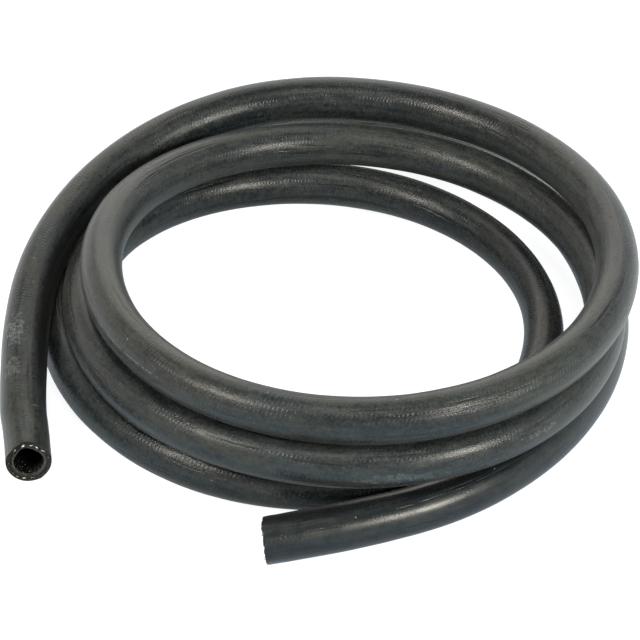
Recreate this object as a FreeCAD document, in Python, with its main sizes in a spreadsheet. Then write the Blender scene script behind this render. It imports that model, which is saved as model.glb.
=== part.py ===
import FreeCAD, Part
import math
import os

# A length of reinforced rubber hose, laid down as a loose coil of nearly four turns.
# Millimetres. X runs to the right, Y to the back and Z up from the floor that the coil lies on.
# Three layers are vulcanised together: a liner, a ply of yarn and a cover.

os.makedirs("parts", exist_ok=True)
doc = FreeCAD.newDocument("hose_coil")
sheet = doc.addObject("Spreadsheet::Sheet", "sizes")
Vector = FreeCAD.Vector

sizes = {
    "bore_diameter": 13.0,
    "liner_wall": 1.2,
    "yarn_wall": 0.6,
    "outside_diameter": 20.0,
    "turn_gap": 0.5,
    "foot_depth": 0.5,
    "tip_clearance": 0.2,
    "end_run": 40.0,
    "end_a_x": -126.5,
    "end_a_y": -101.5,
    "end_a_heading": 97.0,
    "end_a_rise": 6.0,
    "end_b_x": -23.5,
    "end_b_y": -154.5,
    "end_b_heading": -162.5,
}

# Where each turn passes the coil's four sides: how far out from the middle, how far along
# that side, and how many layers above the floor. The turns are loose, so no two agree.
turns = [
    {
        "left": (132.0, -16.0, 0.73),
        "back": (131.0, -1.5, 1.93),
        "right": (132.0, -0.5, 1.98),
        "front": (129.0, 15.5, 2.16),
    },
    {
        "left": (99.0, -2.0, 1.92),
        "back": (114.5, 9.5, 1.17),
        "right": (127.0, -10.0, 1.0),
        "front": (132.5, 15.0, 1.16),
    },
    {
        "left": (107.5, 5.0, 0.8),
        "back": (110.5, -4.0, 0.19),
        "right": (101.0, 0.5, 0.0),
        "front": (117.5, -2.5, 0.0),
    },
    {
        "left": (121.5, 20.5, 0.0),
        "back": (157.0, 8.0, 0.0),
        "right": (128.5, 8.5, 0.0),
    },
]

# The way the hose runs as it passes each side, clockwise seen from above.
running = {
    "left": Vector(0, 1, 0),
    "back": Vector(1, 0, 0),
    "right": Vector(0, -1, 0),
    "front": Vector(-1, 0, 0),
}


def fill_sheet():
    """Writes every driving dimension into the sheet under its own name."""
    entries = dict(sizes)
    for number, turn in enumerate(turns, 1):
        for side, (out, along, layer) in turn.items():
            entries[f"turn_{number}_{side}_out"] = out
            entries[f"turn_{number}_{side}_along"] = along
            entries[f"turn_{number}_{side}_layer"] = layer
    for row, (name, value) in enumerate(entries.items(), 1):
        sheet.set(f"A{row}", name)
        sheet.set(f"B{row}", str(value))
        sheet.setAlias(f"B{row}", name)
    doc.recompute()


def size(name):
    return float(sheet.get(name))


def unit(vector):
    return Vector(vector).normalize()


def side_point(number, side):
    """The centre of the hose where one turn passes one side of the coil."""
    out = size(f"turn_{number}_{side}_out")
    along = size(f"turn_{number}_{side}_along")
    layer = size(f"turn_{number}_{side}_layer")
    lowest = size("outside_diameter") / 2 - size("foot_depth")
    height = lowest + layer * (size("outside_diameter") + size("turn_gap"))
    plan = {"left": (-out, along), "back": (along, out), "right": (out, along), "front": (along, -out)}
    return Vector(*plan[side], height)


def tip(name, rise):
    """The centre of a cut face, and the way the hose runs there."""
    heading = math.radians(size(f"{name}_heading"))
    climb = math.tan(math.radians(rise))
    height = size("outside_diameter") / 2 + size("tip_clearance")
    point = Vector(size(f"{name}_x"), size(f"{name}_y"), height)
    return point, unit(Vector(math.cos(heading), math.sin(heading), climb))


def climb_at(before, here, after):
    """The slope at a point of the route: the harmonic mean of those on its two sides, level at a crest."""
    lower = here - before
    upper = after - here
    first = lower.z / math.hypot(lower.x, lower.y)
    second = upper.z / math.hypot(upper.x, upper.y)
    if first * second <= 0:
        return 0.0
    return 2 * first * second / (first + second)


def arc_between(start, direction, end):
    """An arc that leaves start in the given direction and reaches end, and its radius."""
    chord = end - start
    along = unit(chord)
    sideways = unit(direction - along * direction.dot(along))
    half_turn = direction.getAngle(chord)
    middle = (start + end) * 0.5 + sideways * (chord.Length / 2 * math.tan(half_turn / 2))
    return Part.Arc(start, middle, end).toShape(), chord.Length / (2 * math.sin(half_turn))


def biarc(start, leaving, end, arriving):
    """Two tangent arcs from one point and direction to the next, and their radii."""
    gap = end - start
    both = leaving + arriving
    spread = 2 * (1 - leaving.dot(arriving))
    reach = (math.sqrt(gap.dot(both) ** 2 + spread * gap.dot(gap)) - gap.dot(both)) / spread
    joint = (start + end + (leaving - arriving) * reach) * 0.5
    through = unit(joint - start - leaving * reach)
    first, first_radius = arc_between(start, leaving, joint)
    second, second_radius = arc_between(joint, through, end)
    return [first, second], [first_radius, second_radius]


def coil_route():
    """The edges of the coil's centre line between the two straight ends, and the radii of its arcs."""
    points = [end_a + way_a * size("end_run")]
    ways = [way_a]
    for number, turn in enumerate(turns, 1):
        for side in turn:
            points.append(side_point(number, side))
            ways.append(running[side])
    points.append(end_b - way_b * size("end_run"))
    ways.append(way_b)
    for i in range(1, len(points) - 1):
        climb = climb_at(points[i - 1], points[i], points[i + 1])
        ways[i] = unit(ways[i] + Vector(0, 0, climb))
    edges = []
    radii = []
    for i in range(len(points) - 1):
        pair, pair_radii = biarc(points[i], ways[i], points[i + 1], ways[i + 1])
        edges += pair
        radii += pair_radii
    return edges, radii


def least_gap(edges, spacing, apart):
    """The least free distance between stretches of the hose that lie more than apart along it."""
    places = []
    travelled = 0.0
    for edge in edges:
        count = max(2, round(edge.Length / spacing))
        for k in range(count):
            at = edge.FirstParameter + (edge.LastParameter - edge.FirstParameter) * k / count
            places.append((travelled + edge.Length * k / count, edge.valueAt(at)))
        travelled += edge.Length
    nearest = travelled
    for i, (here, point) in enumerate(places):
        for there, other in places[i + 1:]:
            if there - here > apart:
                nearest = min(nearest, point.distanceToPoint(other))
    return nearest - size("outside_diameter")


def circle(label, point, direction, diameter):
    """A round section of the hose, square to its centre line."""
    section = doc.addObject("Part::Circle", label)
    section.setExpression("Radius", diameter + " / 2")
    section.Placement = FreeCAD.Placement(point, FreeCAD.Rotation(Vector(0, 0, 1), direction))
    return section


def sweep(label, diameter):
    """The section carried along the whole coil."""
    body = doc.addObject("Part::Sweep", label)
    body.Sections = [circle(label + "_section", *coil_start, diameter)]
    body.Spine = (spine, [f"Edge{i}" for i in range(1, len(spine.Shape.Edges) + 1)])
    body.Solid = True
    body.Frenet = False
    body.Transition = "Transformed"
    return body


def cut(label, base, tool):
    body = doc.addObject("Part::Cut", label)
    body.Base = base
    body.Tool = tool
    return body


def rod(label, point, direction, diameter):
    body = doc.addObject("Part::Cylinder", label)
    body.setExpression("Radius", f"({diameter}) / 2")
    body.setExpression("Height", "sizes.end_run")
    body.Placement = FreeCAD.Placement(point, FreeCAD.Rotation(Vector(0, 0, 1), direction))
    return body


def layered_end(name, point, direction):
    """The straight end of the hose, from its cut face to the coil, one sleeve for each layer."""
    inner = "sizes.bore_diameter"
    sleeves = []
    for layer, outer in layers.items():
        shell = rod(f"{name}_{layer}_outside", point, direction, outer)
        hollow = rod(f"{name}_{layer}_inside", point, direction, inner)
        sleeves.append(cut(f"{name}_{layer}", shell, hollow))
        inner = outer
    return sleeves


# The outside of each layer, from the bore outwards.
layers = {
    "liner": "sizes.bore_diameter + 2 * sizes.liner_wall",
    "yarn": "sizes.bore_diameter + 2 * sizes.liner_wall + 2 * sizes.yarn_wall",
    "cover": "sizes.outside_diameter",
}

fill_sheet()
end_a, way_a = tip("end_a", size("end_a_rise"))
end_b, way_b = tip("end_b", 0.0)
route, arc_radii = coil_route()
coil_start = (end_a + way_a * size("end_run"), way_a)

spine = doc.addObject("Part::Feature", "centre_line")
spine.Shape = Part.Wire(route)

# The coil: one unbroken tube with its bore, worn to a narrow flat where it lies on the floor.
coil_tube = cut(
    "coil_tube",
    sweep("coil_outside", "sizes.outside_diameter"),
    sweep("coil_bore", "sizes.bore_diameter"),
)
floor = doc.addObject("Part::Box", "floor_block")
floor.setExpression("Length", "40 * sizes.outside_diameter")
floor.setExpression("Width", "40 * sizes.outside_diameter")
floor.setExpression("Height", "sizes.outside_diameter")
half_floor = 20 * size("outside_diameter")
floor.Placement.Base = Vector(-half_floor, -half_floor, -size("outside_diameter"))
hose_coil = cut("hose_coil", coil_tube, floor)

nodes = [hose_coil]
nodes += layered_end("end_a", end_a, way_a)
nodes += layered_end("end_b", end_b - way_b * size("end_run"), way_b)

doc.recompute()

for body in doc.Objects:
    if "Invalid" in body.State or "Error" in body.State:
        raise RuntimeError(f"{body.Label}: {body.State}")
for body in nodes:
    if body.Shape.isNull() or not body.Shape.isValid() or len(body.Shape.Solids) != 1:
        raise RuntimeError(f"{body.Label} is not one valid solid")
    body.Shape.exportStep(f"parts/{body.Label}.step")
    print(f"{body.Label}: {body.Shape.Volume:.0f} mm3")

bore_radius = size("bore_diameter") / 2
outer_radius = size("outside_diameter") / 2
section = math.pi * (outer_radius ** 2 - bore_radius ** 2)
run_a = Part.LineSegment(end_a, coil_start[0]).toShape()
run_b = Part.LineSegment(end_b - way_b * size("end_run"), end_b).toShape()
centre_line = [run_a] + route + [run_b]
length = sum(edge.Length for edge in centre_line)
coil_length = sum(edge.Length for edge in route)
print(f"hose length {length:.0f} mm, of which the coil {coil_length:.0f} mm")
print("radii of the arcs in mm:", [round(radius) for radius in arc_radii])
print(f"tube {coil_tube.Shape.Volume:.0f} mm3, section times length {section * coil_length:.0f} mm3")
print(f"least gap between turns {least_gap(centre_line, 3.0, 60.0):.2f} mm")
box = Part.makeCompound([body.Shape for body in nodes]).optimalBoundingBox()
print(f"box X {box.XMin:.1f} {box.XMax:.1f}, Y {box.YMin:.1f} {box.YMax:.1f}, Z {box.ZMin:.2f} {box.ZMax:.2f}")
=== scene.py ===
import bpy
import math
import random
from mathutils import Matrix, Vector


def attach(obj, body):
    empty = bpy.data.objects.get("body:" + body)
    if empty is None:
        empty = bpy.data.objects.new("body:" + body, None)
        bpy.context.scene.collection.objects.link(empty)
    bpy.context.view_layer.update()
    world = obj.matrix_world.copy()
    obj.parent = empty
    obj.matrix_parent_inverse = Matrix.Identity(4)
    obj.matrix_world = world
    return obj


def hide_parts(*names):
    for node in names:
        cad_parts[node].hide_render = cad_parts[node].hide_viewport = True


# A loose coil of black rubber hose with a yarn ply, both ends cut bare.
# It is modelled straight along X, then bent along its route. Metres throughout.

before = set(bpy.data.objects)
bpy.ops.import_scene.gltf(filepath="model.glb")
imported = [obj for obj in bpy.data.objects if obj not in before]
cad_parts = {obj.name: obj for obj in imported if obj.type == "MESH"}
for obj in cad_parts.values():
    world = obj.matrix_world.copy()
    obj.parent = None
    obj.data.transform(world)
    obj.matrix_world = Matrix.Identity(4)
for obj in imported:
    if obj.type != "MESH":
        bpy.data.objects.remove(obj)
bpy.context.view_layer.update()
print("frame loaded:", len(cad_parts), "nodes")

scene = bpy.context.scene


# Small helpers

meshing = {
    "mergeDistance": 0.000002,
    "sameRing": 0.00001,    # how far off its ring a vertex may be and still be picked
}


def deselectAll():
    if bpy.context.object and bpy.context.object.mode != "OBJECT":
        bpy.ops.object.mode_set(mode="OBJECT")
    bpy.ops.object.select_all(action="DESELECT")


def pickOnly(obj, *others):
    deselectAll()
    for other in others:
        other.select_set(True)
    obj.select_set(True)
    bpy.context.view_layer.objects.active = obj


def selectVerts(obj, wanted):
    # selects the vertices for which wanted(x, radius) is true, and opens edit mode
    pickOnly(obj)
    bpy.ops.object.mode_set(mode="EDIT")
    bpy.ops.mesh.select_mode(type="VERT")
    bpy.ops.mesh.select_all(action="DESELECT")
    bpy.ops.object.mode_set(mode="OBJECT")
    for vert in obj.data.vertices:
        vert.select = wanted(vert.co.x, math.hypot(vert.co.y, vert.co.z))
    bpy.ops.object.mode_set(mode="EDIT")


def applyModifier(obj, modifier):
    pickOnly(obj)
    bpy.ops.object.modifier_apply(modifier=modifier.name)


def turnedTube(name, sides, rings):
    # a ring of vertices pushed along X from one (x, radius) to the next
    x, radius = rings[0]
    deselectAll()
    bpy.ops.mesh.primitive_circle_add(
        vertices=sides, radius=radius, location=(x, 0, 0), rotation=(0, math.pi / 2, 0))
    tube = bpy.context.object
    tube.name = name
    bpy.ops.object.transform_apply(location=True, rotation=True, scale=True)
    bpy.ops.object.mode_set(mode="EDIT")
    bpy.ops.mesh.select_all(action="SELECT")
    for nextX, nextRadius in rings[1:]:
        grow = nextRadius / radius
        bpy.ops.mesh.extrude_region_move(TRANSFORM_OT_translate={"value": (nextX - x, 0, 0)})
        bpy.ops.transform.resize(value=(1, grow, grow), center_override=(nextX, 0, 0))
        x, radius = nextX, nextRadius
    bpy.ops.object.mode_set(mode="OBJECT")
    return tube


def closeAndFace(obj):
    pickOnly(obj)
    bpy.ops.object.mode_set(mode="EDIT")
    bpy.ops.mesh.select_all(action="SELECT")
    bpy.ops.mesh.remove_doubles(threshold=meshing["mergeDistance"])
    bpy.ops.mesh.normals_make_consistent(inside=False)
    bpy.ops.object.mode_set(mode="OBJECT")


# The route

route = {
    "diameter": 0.020,
    "turnGap": 0.0005,
    "footDepth": 0.0005,
    "tipClearance": 0.0002,
    "endRun": 0.040,
    "tipA": (-0.1262, -0.1015),
    "headingA": 97.0,
    "riseA": 6.0,
    "tipB": (-0.0242, -0.1542),
    "headingB": -164.5,
    "pointsPerSide": 6,
    "splineSteps": 24,
    # how far out each turn passes a side, how far along it, and how many layers up
    "turns": [
        {"left": (0.132, -0.016, 0.73), "back": (0.131, -0.0015, 1.93),
         "right": (0.132, -0.0005, 1.98), "front": (0.129, 0.0155, 2.16)},
        {"left": (0.099, -0.002, 1.92), "back": (0.1145, 0.0095, 1.17),
         "right": (0.127, -0.010, 1.0), "front": (0.1325, 0.015, 1.16)},
        {"left": (0.1075, 0.005, 0.8), "back": (0.1105, -0.004, 0.19),
         "right": (0.101, 0.0005, 0.0), "front": (0.1175, -0.0025, 0.0)},
        {"left": (0.1215, 0.0205, 0.0), "back": (0.1585, 0.008, 0.0),
         "right": (0.1304, 0.0118, 0.0)},
    ],
    # how full the hose is at the start, where each turn passes its four sides, and at the end
    "fullness": [1.03, 1.04, 1.05, 1.0, 1.0, 0.99, 1.0, 0.97, 0.97,
                 1.08, 1.01, 0.94, 1.02, 1.04, 0.99, 1.03, 1.03],
}
running = {"left": (0, 1), "back": (1, 0), "right": (0, -1), "front": (-1, 0)}


def tipOf(place, heading, rise):
    angle = math.radians(heading)
    tip = Vector((*place, route["diameter"] / 2 + route["tipClearance"]))
    way = Vector((math.cos(angle), math.sin(angle), math.tan(math.radians(rise)))).normalized()
    return tip, way


def sidePoint(side, out, along, layer):
    height = route["diameter"] / 2 - route["footDepth"] + layer * (route["diameter"] + route["turnGap"])
    plan = {"left": (-out, along), "back": (along, out), "right": (out, along), "front": (along, -out)}
    return Vector((*plan[side], height))


def climbAt(before, here, after):
    first = (here - before).z / (here - before).xy.length
    second = (after - here).z / (after - here).xy.length
    return 0.0 if first * second <= 0 else 2 * first * second / (first + second)


def quarterPoints(start, leaving, climbStart, end, arriving, climbEnd, fullness, nextFullness):
    # control points round one corner of the coil, outside the hose's own line as a spline's are
    corner = start.xy + leaving * ((end.xy - start.xy).cross(arriving) / leaving.cross(arriving))
    turn = leaving.angle(arriving)
    count = max(1, round(route["pointsPerSide"] * turn / (math.pi / 2)))
    outside = 1 / math.cos(turn / count / 2)
    length = (end.xy - start.xy).length * (turn / 2) / math.sin(turn / 2)
    points = []
    for i in range(count):
        t = i / count
        a = (1 - outside * math.cos((1 - t) * turn)) / (1 - math.cos(turn))
        b = (1 - outside * math.cos(t * turn)) / (1 - math.cos(turn))
        plan = corner + (start.xy - corner) * a + (end.xy - corner) * b
        height = ((2 * t**3 - 3 * t**2 + 1) * start.z + (t**3 - 2 * t**2 + t) * length * climbStart
                  + (3 * t**2 - 2 * t**3) * end.z + (t**3 - t**2) * length * climbEnd)
        full = fullness + (nextFullness - fullness) * (1 - math.cos(math.pi * t)) / 2
        points.append((plan.x, plan.y, height, full))
    return points


def routePoints():
    tipA, wayA = tipOf(route["tipA"], route["headingA"], route["riseA"])
    tipB, wayB = tipOf(route["tipB"], route["headingB"], 0.0)
    run = route["endRun"]
    stations = [tipA + wayA * run]
    ways = [wayA.xy.normalized()]
    for turn in route["turns"]:
        for side, (out, along, layer) in turn.items():
            stations.append(sidePoint(side, out, along, layer))
            ways.append(Vector(running[side]))
    stations.append(tipB - wayB * run)
    ways.append(wayB.xy.normalized())
    climbs = [wayA.z / wayA.xy.length]
    climbs += [climbAt(*stations[i - 1:i + 2]) for i in range(1, len(stations) - 1)] + [0.0]
    points = [(*tipA, 1.0), (*(tipA + wayA * run / 2), 1.0)]
    for i in range(len(stations) - 1):
        points += quarterPoints(
            stations[i], ways[i], climbs[i], stations[i + 1], ways[i + 1], climbs[i + 1],
            route["fullness"][i], route["fullness"][i + 1])
    return points + [(*(tipB - wayB * back), route["fullness"][-1]) for back in (run, run / 2, 0.0)]


def makeRoute():
    points = routePoints()
    curve = bpy.data.curves.new("hoseRoute", "CURVE")
    curve.dimensions = "3D"
    curve.resolution_u = route["splineSteps"]
    curve.twist_mode = "Z_UP"
    spline = curve.splines.new("NURBS")
    spline.points.add(len(points) - 1)
    for place, (x, y, z, fullness) in zip(spline.points, points):
        place.co = (x, y, z, 1.0)
        place.radius = fullness
    spline.order_u = 3
    spline.use_endpoint_u = True
    obj = bpy.data.objects.new("hoseRoute", curve)
    scene.collection.objects.link(obj)
    line = bpy.data.meshes.new_from_object(obj)
    path = [vert.co.copy() for vert in line.vertices]
    bpy.data.meshes.remove(line)
    return obj, path


routeCurve, path = makeRoute()
hoseLength = sum((b - a).length for a, b in zip(path, path[1:]))
print(f"route: {len(routeCurve.data.splines[0].points)} control points, {hoseLength * 1000:.0f} mm long")


# The hose: its skin, both cut faces, the sockets that hold the other layers, and the bore

hose = {
    "sides": 60,
    "bore": 0.0065,
    "yarnOutside": 0.0086,
    "outside": 0.010,
    "endRun": route["endRun"],
    "socketRings": [0.020, 0.006, 0.0015, 0.0],     # distances from the cut along the yarn's socket
    "skinCuts": 1000,
    "boreCuts": 200,
    # (distance from the cut, radius) over the rim
    "rim": [(0.0, 0.0089), (0.0, 0.0092), (0.0, 0.0096), (0.00003, 0.00978), (0.0001, 0.0099),
            (0.00022, 0.00997), (0.0004, 0.010), (0.0009, 0.010), (0.0018, 0.010), (0.003, 0.010)],
    # the rings along the straight end, from the rim to the coil
    "firstRing": 0.004,
    "ringStep": 0.002,
    "ringCount": 19,
    "cutFaceRadius": 0.00992,       # up to here a face belongs to the cut
}


def hoseEnd(name, turnRound):
    rings = [(hose["endRun"], hose["bore"])]
    rings += [(x, hose["yarnOutside"]) for x in (hose["endRun"], *hose["socketRings"])]
    rings += hose["rim"]
    rings += [(hose["firstRing"] + hose["ringStep"] * i, hose["outside"]) for i in range(hose["ringCount"])]
    if turnRound:
        rings = [(hoseLength - x, radius) for x, radius in rings]
    return turnedTube(name, hose["sides"], rings)


def bridgeRings(obj, radius, cuts):
    # joins the two open rings of that radius by one long stretch with that many cuts
    ends = (hose["endRun"], hoseLength - hose["endRun"])
    near = meshing["sameRing"]
    selectVerts(obj, lambda x, r: abs(r - radius) < near and min(abs(x - end) for end in ends) < near)
    bpy.ops.mesh.bridge_edge_loops(number_cuts=cuts, interpolation="LINEAR")
    bpy.ops.object.mode_set(mode="OBJECT")


hoseObj = hoseEnd("hose", False)
farEnd = hoseEnd("farEnd", True)
pickOnly(hoseObj, farEnd)
bpy.ops.object.join()
bridgeRings(hoseObj, hose["outside"], hose["skinCuts"])
bridgeRings(hoseObj, hose["bore"], hose["boreCuts"])
closeAndFace(hoseObj)
print(f"hose: {len(hoseObj.data.polygons)} faces, straight")


# The liner and the yarn ply in both ends

layers = {
    "sides": 72,
    "middleRing": 0.015,
    # (distance from the cut, radius) over each layer's cut face
    "linerFace": [(0.003, 0.0065), (0.001, 0.00655), (0.0003, 0.0066), (0.0, 0.0067), (-0.00015, 0.0069),
                  (-0.0002, 0.0072), (-0.00015, 0.0076), (0.0, 0.0079), (0.0003, 0.00798), (0.001, 0.00798)],
    "yarnFace": [(0.001, 0.00802), (0.0003, 0.00806), (0.00015, 0.0083), (0.0003, 0.00854), (0.001, 0.00858)],
}


def sleeve(name, face, turnRound):
    inner, outer = face[0][1], face[-1][1]
    middle, inmost = layers["middleRing"], hose["endRun"]
    rings = [(inmost, inner), (middle, inner), *face, (middle, outer), (inmost, outer), (inmost, inner)]
    if turnRound:
        rings = [(hoseLength - x, radius) for x, radius in rings]
    made = turnedTube(name, layers["sides"], rings)
    closeAndFace(made)
    return made


linerA = sleeve("endALiner", layers["linerFace"], False)
linerB = sleeve("endBLiner", layers["linerFace"], True)
yarnA = sleeve("endAYarn", layers["yarnFace"], False)
yarnB = sleeve("endBYarn", layers["yarnFace"], True)


def keepStraightPlace(obj):
    # every vertex keeps its place in the straight hose, which the materials read
    places = [number for vert in obj.data.vertices for number in vert.co]
    kept = obj.data.attributes.new("straight", "FLOAT_VECTOR", "POINT")
    kept.data.foreach_set("vector", places)


for piece in (hoseObj, linerA, linerB):
    keepStraightPlace(piece)
print("liners and yarn plies made")


# The cut ends are sawn a little askew and pressed out of round, and the coiled length is oval

section = {
    "wide": 0.957,          # a bent hose is squeezed across and stands up a little
    "high": 1.03,
    "ovalFrom": 0.045,
    "ovalFull": 0.150,
    "fade": 0.030,
    # how far the cut leans, as a slope upwards and to the left of the hose's way
    "slantA": (0.185, 0.0),
    "slantB": (0.100, 0.222),
    # (angle from the top towards the left, half width in degrees, how far outwards)
    "pullsA": [(13, 20, 0.00040), (58, 24, -0.00035), (-38, 26, -0.00045), (175, 40, 0.00015)],
    "pullsB": [(30, 24, 0.00025), (-60, 30, -0.00030), (120, 30, -0.00020)],
    # the cover's outer edge stands proud here, the same way
    "lipsA": [(36, 24, 0.0011), (-40, 20, 0.0008)],
    "lipsB": [],
    "lipFrom": 0.0088,
    "lipRise": 0.0007,
    # (angle, half width, how far out along the hose) of the snags that the knife left on the rim
    "snagsA": [(-150, 9, 0.0003), (95, 8, -0.0004), (28, 7, -0.0003)],
    "snagsB": [(-28, 17, -0.0016), (37, 3.5, -0.0003), (70, 4, -0.0004),
               (142, 12, -0.0006), (6, 9, 0.0003)],
    "snagFade": 0.006,
}


def pressedOut(angle, marks):
    # the sum of soft marks round the section at that angle
    total = 0.0
    for middle, halfWidth, amount in marks:
        off = (angle - middle + 180) % 360 - 180
        total += amount * math.exp(-(off / halfWidth) ** 2)
    return total


def shapeEnd(obj, turnRound, slant, pulls, snags, lips):
    side = -1 if turnRound else 1
    for vert in obj.data.vertices:
        depth = hoseLength - vert.co.x if turnRound else vert.co.x
        if depth > section["fade"]:
            continue
        near = (1 - max(depth, 0.0) / section["fade"]) ** 2
        radius = math.hypot(vert.co.y, vert.co.z)
        angle = math.degrees(math.atan2(vert.co.y, vert.co.z))
        grow = 1 + near * pressedOut(angle, pulls) / radius
        vert.co.y *= grow
        vert.co.z *= grow
        vert.co.x += near * (slant[0] * vert.co.z + slant[1] * vert.co.y)
        if depth < section["snagFade"]:
            fade = (1 - max(depth, 0.0) / section["snagFade"]) ** 2
            edge = min(max((radius - section["lipFrom"]) / section["lipRise"], 0.0), 1.0)
            vert.co.x -= side * fade * (pressedOut(angle, snags) + edge * pressedOut(angle, lips))


def ovalCoil(obj):
    for vert in obj.data.vertices:
        inside = min(vert.co.x, hoseLength - vert.co.x)
        t = min(max((inside - section["ovalFrom"]) / (section["ovalFull"] - section["ovalFrom"]), 0.0), 1.0)
        share = t * t * (3 - 2 * t)
        vert.co.y *= 1 + (section["wide"] - 1) * share
        vert.co.z *= 1 + (section["high"] - 1) * share


for piece in (hoseObj, linerA, yarnA):
    shapeEnd(piece, False, section["slantA"], section["pullsA"], section["snagsA"], section["lipsA"])
for piece in (hoseObj, linerB, yarnB):
    shapeEnd(piece, True, section["slantB"], section["pullsB"], section["snagsB"], section["lipsB"])
ovalCoil(hoseObj)


# Unevenness in the rubber, and the rough faces that the knife left

roughness = {
    "skinHeight": 0.0004,
    "skinSize": 0.035,
    "cutHeight": 0.0007,
    "cutSize": 0.0014,
    "cutDepth": 0.005,          # the cut's roughness reaches this far in
    "cutWithin": 0.0097,        # and this far out from the middle
    "lipHeight": 0.0006,
    "skinFromCut": 0.006,
    "skinFromMiddle": 0.0088,
    "cloudDepth": 2,
}


def roughen(obj, groupName, wanted, size, height, direction):
    group = obj.vertex_groups.new(name=groupName)
    group.add([vert.index for vert in obj.data.vertices if wanted(vert.co)], 1.0, "REPLACE")
    texture = bpy.data.textures.new(obj.name + groupName, "CLOUDS")
    texture.noise_scale = size
    texture.noise_depth = roughness["cloudDepth"]
    push = obj.modifiers.new(groupName, "DISPLACE")
    push.texture = texture
    push.texture_coords = "LOCAL"
    push.vertex_group = groupName
    push.direction = direction
    push.mid_level = 0.5
    push.strength = height
    applyModifier(obj, push)
    obj.vertex_groups.remove(obj.vertex_groups[groupName])


def fromCut(co):
    return min(co.x, hoseLength - co.x)


def fromMiddle(co):
    return math.hypot(co.y, co.z)


def nearCut(co):
    return fromCut(co) < roughness["cutDepth"]


def onCutFace(co):
    return nearCut(co) and fromMiddle(co) < roughness["cutWithin"]


def onSkin(co):
    return fromMiddle(co) > roughness["skinFromMiddle"] and fromCut(co) > roughness["skinFromCut"]


roughen(hoseObj, "skin", onSkin, roughness["skinSize"], roughness["skinHeight"], "NORMAL")
roughen(hoseObj, "cut", onCutFace, roughness["cutSize"], roughness["cutHeight"], "X")
for piece in (linerA, linerB):
    roughen(piece, "lip", nearCut, roughness["cutSize"], roughness["lipHeight"], "X")
print("sections pressed and roughened")


# The yarn's cut ends: dark bundles all round the ply, and pale tufts that the knife pulled out

yarn = {
    "seed": 11,
    "bundles": 34,
    "bundleSize": (0.0006, 0.00042, 0.00027),
    "tuftSize": (0.00030, 0.00055, 0.00024),
    "lumpSides": 10,
    "lumpRings": 6,
    "fibreSides": 5,
    "fibreRings": [(0.0, 0.00008), (0.0004, 0.00009), (0.0008, 0.00008),
                   (0.0012, 0.00006), (0.0015, 0.00002)],
    "fibreBend": 50.0,
    "fibreClean": 0.9,
    "fibresPerSize": 3,
    "ringRadius": 0.0083,
    "flatterAtB": 0.55,         # the bundles stand out less at End B
    "tuftProud": 0.0002,
    # the length and the thickness that a tuft keeps however small it is, as shares of size 1
    "leastLength": 0.6,
    "leastThickness": 0.5,
    # how far each thing strays, from and to: degrees, metres, or shares of its size
    "stray": {
        "bundleAngle": (-2, 2),
        "bundleRadius": (-0.0001, 0.0001),
        "bundleDepth": (0.0, 0.0004),
        "bundleWidth": (0.8, 1.2),
        "bundleThickness": (0.8, 1.1),
        "tuftTurn": (-15, 15),
        "fibreAngle": (-6, 6),
        "fibreRadius": (-0.00025, 0.00025),
        "fibreDepth": (-0.0003, 0.0001),
        "fibreLean": (5, 45),
        "fibreTurn": (-30, 30),
        "fibreLength": (0.5, 0.9),
    },
    # (angle from the top towards the left, radius, size) of each tuft
    "tuftsA": [(13, 0.00840, 1.45), (-10, 0.00825, 0.9), (-30, 0.00795, 1.1), (-52, 0.00820, 0.9),
               (-82, 0.00855, 0.49), (42, 0.00840, 0.9), (92, 0.00850, 0.25), (127, 0.00865, 0.35),
               (144, 0.00870, 0.7), (162, 0.00840, 1.0), (-174, 0.00815, 0.45)],
    "tuftsB": [(60, 0.0083, 0.4), (35, 0.0083, 0.5), (-60, 0.0083, 0.8), (-100, 0.0083, 0.9),
               (-140, 0.0083, 0.7), (175, 0.0083, 0.9), (110, 0.0083, 0.4)],
    # (angle, depth, size) of the crumbs on the wall of the bore
    "crumbs": [(137, 0.0066, 1.0), (156, 0.0072, 1.1), (144, 0.0036, 0.9), (155, 0.0042, 1.0),
               (136, 0.0038, 0.7), (155, 0.0008, 1.2), (173, 0.0038, 0.7), (-178, 0.0018, 1.0),
               (120, 0.0028, 0.7), (166, 0.0058, 0.6), (147, 0.0020, 0.9), (128, 0.0012, 0.8)],
    "crumbSize": 0.00015,
    "crumbClean": 0.4,
    "crumbProud": 0.0001,
}
random.seed(yarn["seed"])


def stray(what):
    return random.uniform(*yarn["stray"][what])


def setClean(obj, value):
    # how clean the yarn is, for its material
    clean = obj.data.attributes.get("clean") or obj.data.attributes.new("clean", "FLOAT", "POINT")
    clean.data.foreach_set("value", [value] * len(obj.data.vertices))


def makeLump(name, size):
    deselectAll()
    bpy.ops.mesh.primitive_uv_sphere_add(
        segments=yarn["lumpSides"], ring_count=yarn["lumpRings"], radius=1.0, rotation=(0, math.pi / 2, 0))
    lump = bpy.context.object
    lump.name = name
    bpy.ops.object.transform_apply(location=True, rotation=True, scale=True)
    bpy.ops.object.mode_set(mode="EDIT")
    bpy.ops.mesh.select_all(action="SELECT")
    bpy.ops.transform.resize(value=size, center_override=(0, 0, 0))
    bpy.ops.object.mode_set(mode="OBJECT")
    return lump


def makeFibre():
    fibre = turnedTube("fibre", yarn["fibreSides"], yarn["fibreRings"])
    for end in (0.0, yarn["fibreRings"][-1][0]):
        selectVerts(fibre, lambda x, r: abs(x - end) < meshing["sameRing"])
        bpy.ops.mesh.edge_face_add()
    bpy.ops.object.mode_set(mode="OBJECT")
    closeAndFace(fibre)
    curl = fibre.modifiers.new("curl", "SIMPLE_DEFORM")
    curl.deform_method = "BEND"
    curl.deform_axis = "Z"
    curl.angle = math.radians(yarn["fibreBend"])
    applyModifier(fibre, curl)
    return fibre


def copyOf(master):
    made = master.copy()
    made.data = master.data.copy()
    scene.collection.objects.link(made)
    return made


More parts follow.
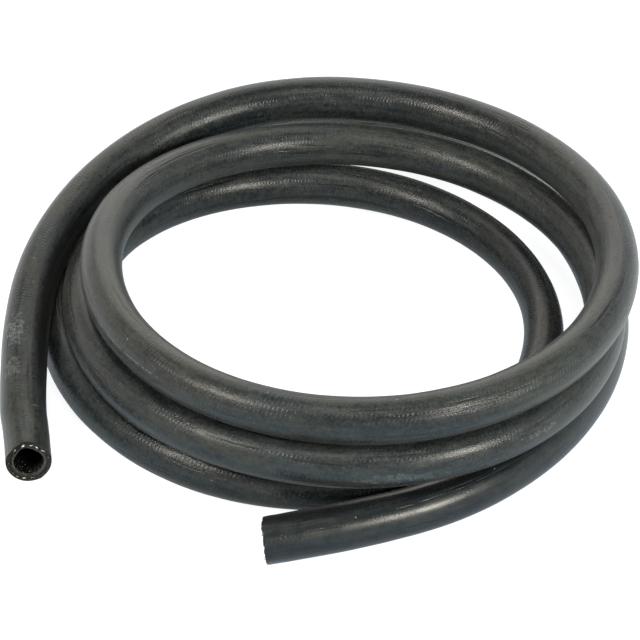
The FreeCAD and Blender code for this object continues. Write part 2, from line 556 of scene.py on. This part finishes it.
def grown(least, size):
    # a share of the full size that shrinks to the least one
    return least + (1 - least) * size


def fray(ply, turnRound, slant, snags, tufts):
    out = 1 if turnRound else -1
    face = hoseLength if turnRound else 0.0
    standOut = yarn["flatterAtB"] if turnRound else 1
    made = []

    def put(master, angle, radius, depth, clean):
        # stands a copy on the slanting cut, at that angle and radius
        a = math.radians(angle)
        y, z = radius * math.sin(a), radius * math.cos(a)
        piece = copyOf(master)
        piece.location = (face + slant[0] * z + slant[1] * y + out * (pressedOut(angle, snags) - depth), y, z)
        setClean(piece, clean)
        made.append(piece)
        return piece

    for i in range(yarn["bundles"]):
        angle = 360 * i / yarn["bundles"] + stray("bundleAngle")
        radius = yarn["ringRadius"] + stray("bundleRadius")
        bundle = put(bundleMaster, angle, radius, stray("bundleDepth"), 0.0)
        bundle.rotation_euler = (-math.radians(angle), 0, 0)
        bundle.scale = (standOut, stray("bundleWidth"), stray("bundleThickness"))
    for angle, radius, size in tufts:
        clean = min(size, 1.0)
        length = grown(yarn["leastLength"], size)
        tuft = put(tuftMaster, angle, radius, -yarn["tuftProud"] * size, clean)
        tuft.rotation_euler = (-math.radians(angle), 0, math.radians(stray("tuftTurn")))
        tuft.scale = (length, size, grown(yarn["leastThickness"], size))
        for k in range(round(yarn["fibresPerSize"] * size)):
            here = angle + stray("fibreAngle") * size
            there = radius + stray("fibreRadius")
            fibre = put(fibreMaster, here, there, stray("fibreDepth"), yarn["fibreClean"] * clean)
            # most fibres lie along the ring and lean out of the cut
            lean = math.radians(stray("fibreLean"))
            turn = math.radians(here + random.choice((0, 180)) + stray("fibreTurn"))
            flat = math.cos(lean)
            way = Vector((out * math.sin(lean), flat * math.cos(turn), -flat * math.sin(turn)))
            fibre.rotation_euler = way.to_track_quat("X", "Z").to_euler()
            fibre.scale = (stray("fibreLength") * length, 1, 1)
    if not turnRound:
        for angle, depth, size in yarn["crumbs"]:
            crumb = put(tuftMaster, angle, hose["bore"] - yarn["crumbProud"], depth, yarn["crumbClean"])
            crumb.scale = [yarn["crumbSize"] * size / side for side in yarn["tuftSize"]]
    pickOnly(ply, *made)
    bpy.ops.object.join()
    keepStraightPlace(ply)


bundleMaster = makeLump("bundle", yarn["bundleSize"])
tuftMaster = makeLump("tuft", yarn["tuftSize"])
fibreMaster = makeFibre()
for ply in (yarnA, yarnB):
    setClean(ply, 0.0)
fray(yarnA, False, section["slantA"], section["snagsA"], yarn["tuftsA"])
fray(yarnB, True, section["slantB"], section["snagsB"], yarn["tuftsB"])
for master in (bundleMaster, tuftMaster, fibreMaster):
    bpy.data.objects.remove(master)
print(f"yarn ends: {len(yarnA.data.polygons)} and {len(yarnB.data.polygons)} faces")


# Bending everything along the route

smoothBelow = 35    # degrees between faces


def bendAlongRoute(obj):
    bend = obj.modifiers.new("bend", "CURVE")
    bend.object = routeCurve
    bend.deform_axis = "POS_X"
    applyModifier(obj, bend)
    for vert in obj.data.vertices:
        vert.co.z = max(vert.co.z, 0.0)   # rubber lies flat where it rests on the floor


pieces = [hoseObj, linerA, linerB, yarnA, yarnB]
for piece in pieces:
    bendAlongRoute(piece)
    pickOnly(piece)
    bpy.ops.object.shade_smooth_by_angle(angle=math.radians(smoothBelow))
print("bent along the route")


# Materials

meanNoise = 0.5


def newMaterial(name):
    material = bpy.data.materials.new(name)
    material.use_nodes = True
    return material, material.node_tree


def setInputs(tree, node, inputs):
    # links a socket to another one, or sets it to a plain value
    for name, value in inputs.items():
        if isinstance(value, bpy.types.NodeSocket):
            tree.links.new(value, node.inputs[name])
        else:
            node.inputs[name].default_value = value


def setShader(tree, inputs):
    setInputs(tree, tree.nodes["Principled BSDF"], inputs)


def newNode(tree, kind, inputs=None, **settings):
    made = tree.nodes.new(kind)
    for name, value in settings.items():
        setattr(made, name, value)
    setInputs(tree, made, inputs or {})
    return made


def calc(tree, operation, first, second=None, clamp=False):
    inputs = {0: first} if second is None else {0: first, 1: second}
    return newNode(tree, "ShaderNodeMath", inputs, operation=operation, use_clamp=clamp).outputs[0]


def times(tree, first, second):
    return calc(tree, "MULTIPLY", first, second)


def plus(tree, first, second, clamp=False):
    return calc(tree, "ADD", first, second, clamp)


def larger(tree, first, second):
    return calc(tree, "MAXIMUM", first, second)


def between(tree, value, low, high, start=0.0, end=1.0):
    # goes from start to end while the value goes from low to high
    inputs = {0: value, 1: low, 2: high, 3: start, 4: end}
    return newNode(tree, "ShaderNodeMapRange", inputs, clamp=True).outputs[0]


def mixColor(tree, fac, first, second):
    return newNode(tree, "ShaderNodeMix", {0: fac, 6: first, 7: second}, data_type="RGBA").outputs[2]


def mixNumber(tree, fac, first, second):
    return newNode(tree, "ShaderNodeMix", {0: fac, 2: first, 3: second}, data_type="FLOAT").outputs[0]


def bump(tree, height, distance, normal=None):
    inputs = {"Height": height, "Strength": 1.0, "Distance": distance}
    if normal is not None:
        inputs["Normal"] = normal
    return newNode(tree, "ShaderNodeBump", inputs).outputs["Normal"]


def xyzOf(tree, vector):
    return newNode(tree, "ShaderNodeSeparateXYZ", {0: vector}).outputs


def noise(tree, vector, scale, detail=3.0, rough=0.55):
    # noise on the straight hose, with its own scale along, across and up
    mapped = newNode(tree, "ShaderNodeMapping", {"Vector": vector, "Scale": scale}).outputs["Vector"]
    return newNode(tree, "ShaderNodeTexNoise",
                   {"Vector": mapped, "Scale": 1.0, "Detail": detail, "Roughness": rough}).outputs["Fac"]


def pattern(tree, place, look, name):
    # one of a look's own noises
    return noise(tree, place, *look["noises"][name])


def faded(tree, look, name, value):
    # from 0 to 1 over the range that the look gives under that name
    return between(tree, value, *look["fades"][name])


def fadedPattern(tree, place, look, name):
    return faded(tree, look, name, pattern(tree, place, look, name))


# Where a place is in the straight hose, which every vertex has kept

def straightPlace(tree):
    return newNode(tree, "ShaderNodeAttribute", attribute_name="straight").outputs["Vector"]


def angleOf(tree, xyz):
    # round the hose, from the top towards the left
    return calc(tree, "ARCTAN2", xyz["Y"], xyz["Z"])


def radiusOf(tree, xyz):
    squares = plus(tree, times(tree, xyz["Y"], xyz["Y"]), times(tree, xyz["Z"], xyz["Z"]))
    return calc(tree, "SQRT", squares)


def depthOf(tree, xyz):
    # from the nearer cut
    return calc(tree, "MINIMUM", xyz["X"], calc(tree, "SUBTRACT", hoseLength, xyz["X"]))


def towards(tree, angle, middle, low, high):
    # one side of the section, round the middle angle, fading in between two cosines
    return between(tree, calc(tree, "COSINE", calc(tree, "SUBTRACT", angle, math.radians(middle))), low, high)


# The black rubber of the skin

rubber = {
    "dark": (0.0080, 0.0115, 0.0135, 1),
    "bloom": (0.045, 0.050, 0.044, 1),
    "coldBloom": (0.037, 0.048, 0.053, 1),
    # the colour of scorched marks, and of painted shade on the right side of the strand near End A
    "scorch": (0.004, 0.005, 0.006, 1),
    "chalk": (0.17, 0.19, 0.19, 1),
    "crumb": (0.42, 0.39, 0.32, 1),
    "crumbScale": 260.0,
    "yarnPitch": 0.0018,
    "yarnSlants": -9,       # whole turns that the slant of the yarn makes round the hose
    "yarnRows": 22,
    "yarnWander": 7.0,
    # (scale along, across and up, detail, roughness)
    "noises": {
        "broad": ((14, 75, 75), 5, 0.6),
        "smeared": ((45, 300, 300), 5, 0.65),
        "blotchy": ((130, 170, 170), 4, 0.6),
        "mottled": ((480, 640, 640), 5, 0.7),
        "hue": ((25, 60, 60), 3),
        "scorch": ((16, 330, 330), 3),
        "worn": ((20, 90, 90), 2),
        "hairlines": ((45, 1800, 1800), 2),
        "wander": ((120, 200, 200), 2),
        "plyShown": ((50, 130, 130), 4, 0.65),
        "fine": ((1000, 1500, 1500), 3, 0.7),
        "ragged": ((260, 300, 300), 3, 0.6),
        "grain": ((900, 1100, 1100), 4, 0.65),
    },
    "fades": {
        "calm": (2.62, 2.85),       # along the hose: the last stretch before End B is the smoothest
        "bloom": (0.385, 0.545),
        "hue": (0.48, 0.68),
        "scorch": (0.60, 0.70),
        "worn": (0.48, 0.60),
        "hairlines": (0.64, 0.74),
        "wave": (-0.2, 0.9),
        "rows": (-0.6, 0.3),
        "plyShown": (0.43, 0.57),
        "fine": (0.44, 0.58),
        "patch": (1.0, 0.2),
        "rare": (0.90, 0.97),
        "speck": (0.10, 0.04),
    },
    # how much each one counts
    "shares": {
        "broad": 0.24,
        "smeared": 0.16,
        "blotchy": 0.18,
        "mottled": 0.33,
        "scorch": 0.9,
        "hairlines": 0.18,
        "dashes": 0.20,
        "specks": 0.8,
    },
    # how much of the mottling and of the grain the calm stretch loses, and how much of the print it keeps
    "calmMottling": 0.7,
    "calmGrain": 0.65,
    "calmPrint": 0.35,
    "scuffGround": 0.15,    # how strong a scuff is between the grains of chalk
    "raggedness": 6.0,
    "bumps": {"grain": 0.00011, "dashes": 0.00007, "scorch": -0.00015, "smeared": 0.00012},
    "roughness": (0.25, 0.38),      # where it is dark, and in full bloom
    "shader": {
        "Specular IOR Level": 0.30,
        "Sheen Weight": 0.06,
        "Sheen Roughness": 0.45,
        "Sheen Tint": (1.0, 0.97, 0.92, 1),
    },
    # pale marks: (along the hose, angle from the top towards the left, half length, half width, strength)
    "scuffs": [(0.822, 75, 0.028, 0.00035, 1.0), (1.432, 96, 0.018, 0.0024, 0.50),
               (1.370, 78, 0.009, 0.0016, 0.55), (0.072, 24, 0.010, 0.0046, 0.80),
               (0.048, 28, 0.007, 0.0040, 0.60), (0.0254, -31, 0.00022, 0.0018, 1.0),
               (0.455, 60, 0.030, 0.0012, 0.40)],
    # dark marks, the same way, mostly scorched; the one at 0.090 is painted shade on the right side of the
    # strand near End A, and the one at 2.960 darkens the top of the hose before End B
    "smears": [(0.558, 25, 0.013, 0.0010), (0.578, 20, 0.014, 0.0009), (0.300, 40, 0.020, 0.0010),
               (0.985, -20, 0.024, 0.0008), (0.090, -70, 0.110, 0.0085), (2.960, -18, 0.170, 0.0072)],
    # dustier and cleaner lengths: (along the hose, half length, how much more bloom)
    "lengths": [(0.05, 0.14, 0.08), (0.56, 0.16, 0.15), (0.95, 0.20, 0.12), (1.36, 0.12, 0.12),
                (0.30, 0.14, -0.20), (1.75, 0.30, -0.10), (2.95, 0.20, -0.15), (2.10, 0.25, -0.20)],
    "lengthWidth": 1.0,     # far more than the girth, so that a length goes all the way round
}


def patch(tree, along, angle, middle, middleAngle, halfLength, halfWidth, ragged=None):
    # 1 in the middle of an oval patch of the skin, 0 outside it, with a ragged edge where a noise is given
    halfTurn = halfWidth / hose["outside"]
    u = calc(tree, "DIVIDE", calc(tree, "SUBTRACT", along, middle), halfLength)
    v = calc(tree, "DIVIDE", calc(tree, "SUBTRACT", angle, math.radians(middleAngle)), halfTurn)
    off = plus(tree, times(tree, u, u), times(tree, v, v))
    if ragged is not None:
        off = plus(tree, off, times(tree, calc(tree, "SUBTRACT", ragged, meanNoise), rubber["raggedness"]))
    return faded(tree, rubber, "patch", off)


def makeRubber():
    material, tree = newMaterial("blackRubber")
    place = straightPlace(tree)
    xyz = xyzOf(tree, place)
    along, angle = xyz["X"], angleOf(tree, xyz)
    shares = rubber["shares"]
    calm = faded(tree, rubber, "calm", along)

    # grey bloom: broad patches, smears along the hose and fine mottling
    broad = times(tree, pattern(tree, place, rubber, "broad"), shares["broad"])
    smeared = times(tree, pattern(tree, place, rubber, "smeared"), shares["smeared"])
    blotchy = times(tree, pattern(tree, place, rubber, "blotchy"), shares["blotchy"])
    mottled = pattern(tree, place, rubber, "mottled")
    mottled = mixNumber(tree, times(tree, calm, rubber["calmMottling"]), mottled, meanNoise)
    mottled = times(tree, mottled, shares["mottled"])
    bloom = plus(tree, plus(tree, broad, smeared), plus(tree, blotchy, mottled))
    bloom = faded(tree, rubber, "bloom", bloom)
    for middle, halfLength, amount in rubber["lengths"]:
        there = patch(tree, along, angle, middle, 0, halfLength, rubber["lengthWidth"])
        bloom = plus(tree, bloom, times(tree, there, amount), clamp=True)
    hue = fadedPattern(tree, place, rubber, "hue")
    color = mixColor(tree, bloom, rubber["dark"], mixColor(tree, hue, rubber["bloom"], rubber["coldBloom"]))

    # scorched marks and pale hairlines, both along the hose, and painted shade in the same dark colour on the
    # right side of the strand near End A
    scorch = fadedPattern(tree, place, rubber, "scorch")
    for darkPatch in rubber["smears"]:
        scorch = larger(tree, scorch, patch(tree, along, angle, *darkPatch))
    color = mixColor(tree, times(tree, scorch, shares["scorch"]), color, rubber["scorch"])
    worn = fadedPattern(tree, place, rubber, "worn")
    hairlines = times(tree, fadedPattern(tree, place, rubber, "hairlines"), worn)

    # the print of the yarn ply under the skin: slanting dashes in rows, worn away in patches
    wander = times(tree, pattern(tree, place, rubber, "wander"), rubber["yarnWander"])
    phase = plus(tree, times(tree, along, 2 * math.pi / rubber["yarnPitch"]),
                 times(tree, angle, rubber["yarnSlants"]))
    wave = calc(tree, "SINE", plus(tree, phase, wander))
    rows = calc(tree, "SINE", plus(tree, times(tree, angle, rubber["yarnRows"]), wander))
    plyShown = fadedPattern(tree, place, rubber, "plyShown")
    plyShown = times(tree, plyShown, mixNumber(tree, calm, 1.0, rubber["calmPrint"]))
    dashes = times(tree, faded(tree, rubber, "wave", wave), faded(tree, rubber, "rows", rows))
    dashes = times(tree, dashes, plyShown)

    # scuffed places, chalky on the high spots of the ply
    fine = fadedPattern(tree, place, rubber, "fine")
    broken = plus(tree, times(tree, fine, 1 - rubber["scuffGround"]), rubber["scuffGround"])
    ragged = pattern(tree, place, rubber, "ragged")
    chalk = times(tree, hairlines, shares["hairlines"])
    for *mark, strength in rubber["scuffs"]:
        scuff = times(tree, patch(tree, along, angle, *mark, ragged), broken)
        chalk = larger(tree, chalk, times(tree, scuff, strength))
    chalk = larger(tree, chalk, times(tree, times(tree, dashes, fine), shares["dashes"]))
    color = mixColor(tree, chalk, color, rubber["chalk"])

    # crumbs of dust
    cells = newNode(tree, "ShaderNodeTexVoronoi", {"Vector": place, "Scale": rubber["crumbScale"]}).outputs
    rare = faded(tree, rubber, "rare", xyzOf(tree, cells["Color"])["X"])
    specks = times(tree, faded(tree, rubber, "speck", cells["Distance"]), rare)
    color = mixColor(tree, times(tree, specks, shares["specks"]), color, rubber["crumb"])

    grain = pattern(tree, place, rubber, "grain")
    grain = mixNumber(tree, times(tree, calm, rubber["calmGrain"]), grain, meanNoise)
    heights = {"grain": grain, "dashes": dashes, "scorch": scorch, "smeared": smeared}
    normal = None
    for name, distance in rubber["bumps"].items():
        normal = bump(tree, heights[name], distance, normal)
    rough = between(tree, bloom, 0.0, 1.0, *rubber["roughness"])
    setShader(tree, {"Base Color": color, "Roughness": rough, "Normal": normal, **rubber["shader"]})
    return material


# The sawn face of the cover, olive where it is fresh, with painted shade towards its top, and the bore inside
# it, painted nearly black as shade

cutFace = {
    "hollow": (0.010, 0.009, 0.007, 1),
    "pale": (0.050, 0.055, 0.057, 1),
    "olive": (0.060, 0.050, 0.028, 1),
    "shaded": (0.020, 0.019, 0.017, 1),
    # painted shade: the bore inside the hose is nearly black
    "bore": (0.003, 0.003, 0.003, 1),
    # (angle from the top towards the left, cosines that it fades between)
    "oliveSide": (122, 0.2, 0.9),
    "shadedSide": (35, 0.1, 0.8),
    "noises": {"grain": ((900, 900, 900), 5, 0.7), "knife": ((900, 250, 2200), 2)},
    "fades": {"grain": (0.35, 0.7), "bore": (0.0086, 0.0084)},
    "grainBump": 0.00015,
    "knifeBump": 0.0001,
    "shader": {"Roughness": 0.75, "Specular IOR Level": 0.2},
}


def makeCutRubber():
    material, tree = newMaterial("cutRubber")
    place = straightPlace(tree)
    xyz = xyzOf(tree, place)
    angle = angleOf(tree, xyz)
    grain = pattern(tree, place, cutFace, "grain")
    knife = pattern(tree, place, cutFace, "knife")
    olive = towards(tree, angle, *cutFace["oliveSide"])
    shaded = towards(tree, angle, *cutFace["shadedSide"])
    pale = mixColor(tree, olive, cutFace["pale"], cutFace["olive"])
    pale = mixColor(tree, shaded, pale, cutFace["shaded"])
    color = mixColor(tree, faded(tree, cutFace, "grain", grain), cutFace["hollow"], pale)
    # the bore inside is painted nearly black as shade
    color = mixColor(tree, faded(tree, cutFace, "bore", radiusOf(tree, xyz)), color, cutFace["bore"])
    normal = bump(tree, knife, cutFace["knifeBump"], bump(tree, grain, cutFace["grainBump"]))
    setShader(tree, {"Base Color": color, "Normal": normal, **cutFace["shader"]})
    return material


# The liner: grey on its cut face, paler where it turns over into the bore, and painted nearly black inside
# the bore as shade

liner = {
    "dark": (0.010, 0.011, 0.011, 1),
    "grey": (0.062, 0.064, 0.060, 1),
    "lip": (0.15, 0.155, 0.15, 1),
    "worn": (0.085, 0.09, 0.09, 1),
    "dust": (0.30, 0.30, 0.28, 1),
    # painted shade: the wall inside the bore is nearly black
    "wall": (0.0025, 0.003, 0.003, 1),
    "scraped": (0.05, 0.047, 0.036, 1),
    "lipShare": 0.55,
    "wornShare": 0.5,
    "dustShare": 0.5,
    # (angle from the top towards the left, cosines that it fades between)
    "wornSide": (-105, 0.4, 0.95),
    "scrapedSide": (-140, 0.75, 0.95),
    "noises": {
        "grain": ((600, 700, 700), 5, 0.65),
        "dust": ((1100, 1100, 1100), 2),
        "scrapes": ((300, 1500, 1500), 4),
    },
    "fades": {
        "grain": (0.3, 0.7),
        "dust": (0.68, 0.74),
        "scrapes": (0.45, 0.62),
        "scrapeDepth": (0.007, 0.002),
        "lipRadius": (0.0072, 0.0069),
        "lipDepth": (0.0009, 0.0004),
        "lipTop": (-0.35, 0.4),
        "boreRadius": (0.0068, 0.0066),
        "boreDepth": (0.0004, 0.0010),
    },
    "bump": 0.00015,
    "shader": {"Roughness": 0.8, "IOR": 1.12},
}


def makeLinerRubber():
    material, tree = newMaterial("linerRubber")
    place = straightPlace(tree)
    xyz = xyzOf(tree, place)
    angle, radius, depth = angleOf(tree, xyz), radiusOf(tree, xyz), depthOf(tree, xyz)
    grain = pattern(tree, place, liner, "grain")
    color = mixColor(tree, faded(tree, liner, "grain", grain), liner["dark"], liner["grey"])

    # the thin pale edge round the bore, lost in the rough rubber at the bottom
    lip = times(tree, faded(tree, liner, "lipRadius", radius), faded(tree, liner, "lipDepth", depth))
    lip = times(tree, lip, faded(tree, liner, "lipTop", plus(tree, calc(tree, "COSINE", angle), grain)))
    color = mixColor(tree, times(tree, lip, liner["lipShare"]), color, liner["lip"])
    worn = towards(tree, angle, *liner["wornSide"])
    color = mixColor(tree, times(tree, worn, liner["wornShare"]), color, liner["worn"])
    dust = fadedPattern(tree, place, liner, "dust")
    color = mixColor(tree, times(tree, dust, liner["dustShare"]), color, liner["dust"])

    # the wall of the bore, scraped near the cut, painted nearly black as the shade inside the hole
    scraped = times(tree, towards(tree, angle, *liner["scrapedSide"]),
                    fadedPattern(tree, place, liner, "scrapes"))
    scraped = times(tree, scraped, faded(tree, liner, "scrapeDepth", depth))
    wall = mixColor(tree, scraped, liner["wall"], liner["scraped"])
    inBore = times(tree, faded(tree, liner, "boreRadius", radius), faded(tree, liner, "boreDepth", depth))
    color = mixColor(tree, inBore, color, wall)
    setShader(tree, {"Base Color": color, "Normal": bump(tree, grain, liner["bump"]), **liner["shader"]})
    return material


# The yarn, white where it is clean and nearly black where it is soiled

yarnLook = {
    "cleanPale": (0.86, 0.84, 0.78, 1),
    "cleanDark": (0.34, 0.33, 0.29, 1),
    "soiledPale": (0.045, 0.042, 0.036, 1),
    "soiledDark": (0.014, 0.014, 0.013, 1),
    "noises": {"dirt": ((1200, 1200, 1200), 4), "grain": ((4000, 4000, 4000), 2)},
    "fades": {"dirt": (0.40, 0.68)},
    "bump": 0.00004,
    "shader": {"Roughness": 0.9, "Specular IOR Level": 0.2},
}


def makeYarn():
    material, tree = newMaterial("whiteYarn")
    place = straightPlace(tree)
    clean = newNode(tree, "ShaderNodeAttribute", attribute_name="clean").outputs["Fac"]
    dirt = fadedPattern(tree, place, yarnLook, "dirt")
    fresh = mixColor(tree, dirt, yarnLook["cleanPale"], yarnLook["cleanDark"])
    soiled = mixColor(tree, dirt, yarnLook["soiledPale"], yarnLook["soiledDark"])
    color = mixColor(tree, clean, soiled, fresh)
    normal = bump(tree, pattern(tree, place, yarnLook, "grain"), yarnLook["bump"])
    setShader(tree, {"Base Color": color, "Normal": normal, **yarnLook["shader"]})
    return material


def wear(obj, *materials):
    obj.data.materials.clear()
    for material in materials:
        obj.data.materials.append(material)


wear(hoseObj, makeRubber(), makeCutRubber())
linerRubber, whiteYarn = makeLinerRubber(), makeYarn()
for piece in (linerA, linerB):
    wear(piece, linerRubber)
for piece in (yarnA, yarnB):
    wear(piece, whiteYarn)

straight = hoseObj.data.attributes["straight"].data
for face in hoseObj.data.polygons:
    radii = [math.hypot(straight[i].vector.y, straight[i].vector.z) for i in face.vertices]
    face.material_index = 1 if max(radii) < hose["cutFaceRadius"] else 0
print("materials made")


# The frame's facts about the pieces

bpy.data.objects.remove(routeCurve)
for piece in pieces:
    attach(piece, "root")
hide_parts("hose_coil", "end_a_cover", "end_b_cover")
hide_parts("end_a_liner")
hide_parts("end_b_liner")
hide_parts("end_a_yarn")
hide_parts("end_b_yarn")


# The floor, the light and the camera

studio = {
    "floorSize": 14.0,
    "floorGlow": 0.92,
    "floorColor": (0.30, 0.35, 0.38, 1),
    "floorShader": {"Roughness": 0.9, "Specular IOR Level": 0.0},
    "white": (1, 1, 1, 1),
    # how bright the floor looks in something shiny: shaded under the coil, and full far from it
    "shineUnder": 0.30,
    "shineGrows": (0.135, 0.195),           # distances from the middle
    "coilScale": (1.2, 1, 1),               # the coil is a little narrower than it is deep
    "frontShine": (0.72, 1.00, 1.30, 1),    # round the coil, in front and behind
    "sideShine": (0.99, 1.02, 1.04, 1),     # on both sides of it
    "underShine": (0.88, 1.00, 1.15, 1),    # under it
    "frontToSide": (0.09, 0.16),
    "nearToFar": (0.50, 1.20),
    "worldStrength": 0.17,
    "roomAbove": 0.38,
    "roomDarkens": (0.15, 0.75),            # from the horizon upwards
    # the walls are warm on the left and cool on the right
    "warmWall": (1.22, 1.15, 1.08, 1),
    "coolWall": (1.00, 1.10, 1.18, 1),
    "floorWarmToCool": (-0.5, 0.5),
    "wallWarmToCool": (-0.7, 0.7),
    "lampDistance": 1.7,
    "lampColor": (1.0, 0.95, 0.85),
    # (name, azimuth from the front, elevation, size, power)
    "lamps": [("leftLamp", -62, 41, 0.34, 16.0), ("rightLamp", 46, 27, 0.36, 23.0),
              ("backLamp", 178, 38, 1.5, 11.0), ("topLamp", -10, 70, 0.6, 6.0)],
}


def wayFrom(azimuth, elevation):
    # from the middle out to that azimuth, counted from the front, and that elevation
    a, e = math.radians(azimuth), math.radians(elevation)
    return Vector((math.sin(a) * math.cos(e), -math.cos(a) * math.cos(e), math.sin(e)))


def lookingBack(way):
    return (-way).to_track_quat("-Z", "Y").to_euler()


def background(tree):
    # 1 for rays from the camera, and 1 for rays off or through something shiny
    rays = newNode(tree, "ShaderNodeLightPath").outputs
    return rays["Is Camera Ray"], larger(tree, rays["Is Glossy Ray"], rays["Is Transmission Ray"])


def distanceOf(tree, vector):
    return newNode(tree, "ShaderNodeVectorMath", {0: vector}, operation="LENGTH").outputs["Value"]


def makeFloor():
    deselectAll()
    bpy.ops.mesh.primitive_plane_add(size=studio["floorSize"], location=(0, 0, 0))
    floor = bpy.context.object
    floor.name = "floor"
    material, tree = newMaterial("paleFloor")
    seen, shiny = background(tree)
    place = newNode(tree, "ShaderNodeTexCoord").outputs["Object"]
    x = xyzOf(tree, place)["X"]
    scaled = newNode(tree, "ShaderNodeMapping", {"Vector": place, "Scale": studio["coilScale"]})
    clear = between(tree, distanceOf(tree, scaled.outputs["Vector"]), *studio["shineGrows"])
    aside = between(tree, calc(tree, "ABSOLUTE", x), *studio["frontToSide"])
    near = mixColor(tree, aside, studio["frontShine"], studio["sideShine"])
    near = mixColor(tree, clear, studio["underShine"], near)
    side = between(tree, x, *studio["floorWarmToCool"])
    walls = mixColor(tree, side, studio["warmWall"], studio["coolWall"])
    shine = mixColor(tree, between(tree, distanceOf(tree, place), *studio["nearToFar"]), near, walls)
    color = mixColor(tree, seen, shine, studio["white"])
    shown = larger(tree, seen, mixNumber(tree, clear, studio["shineUnder"], 1.0))
    glow = times(tree, times(tree, larger(tree, seen, shiny), shown), studio["floorGlow"])
    setShader(tree, {"Base Color": studio["floorColor"], "Emission Color": color, "Emission Strength": glow,
                     **studio["floorShader"]})
    wear(floor, material)


def makeWorld():
    # something shiny shows the white backdrop round the object and the darker room above it
    world = bpy.data.worlds.new("studioWorld")
    world.use_nodes = True
    tree = world.node_tree
    seen, shiny = background(tree)
    way = xyzOf(tree, newNode(tree, "ShaderNodeTexCoord").outputs["Generated"])
    room = between(tree, way["Z"], *studio["roomDarkens"], 1.0, studio["roomAbove"])
    strength = mixNumber(tree, seen, mixNumber(tree, shiny, studio["worldStrength"], room), 1.0)
    side = between(tree, way["X"], *studio["wallWarmToCool"])
    walls = mixColor(tree, side, studio["warmWall"], studio["coolWall"])
    color = mixColor(tree, seen, walls, studio["white"])
    setInputs(tree, tree.nodes["Background"], {"Color": color, "Strength": strength})
    scene.world = world


def makeLamp(name, azimuth, elevation, size, power):
    deselectAll()
    place = wayFrom(azimuth, elevation) * studio["lampDistance"]
    bpy.ops.object.light_add(type="AREA", location=place)
    lamp = bpy.context.object
    lamp.name = name
    lamp.rotation_euler = lookingBack(place)
    lamp.data.size = size
    lamp.data.energy = power
    lamp.data.color = studio["lampColor"]


camera = {
    "azimuth": 0.0,
    "elevation": 36.0,
    "aim": (-0.001, 0.016, 0.0),
    "distance": 1.40,
    "lens": 170.1,
    "sensor": 36.0,
    "clipStart": 0.01,
}


def makeCamera():
    way = wayFrom(camera["azimuth"], camera["elevation"])
    deselectAll()
    bpy.ops.object.camera_add(location=Vector(camera["aim"]) + way * camera["distance"])
    obj = bpy.context.object
    obj.rotation_euler = lookingBack(way)
    obj.data.lens = camera["lens"]
    obj.data.sensor_width = camera["sensor"]
    obj.data.clip_start = camera["clipStart"]
    scene.camera = obj


makeFloor()
makeWorld()
for lamp in studio["lamps"]:
    makeLamp(*lamp)
makeCamera()
scene.view_settings.view_transform = "Standard"
print("studio made")
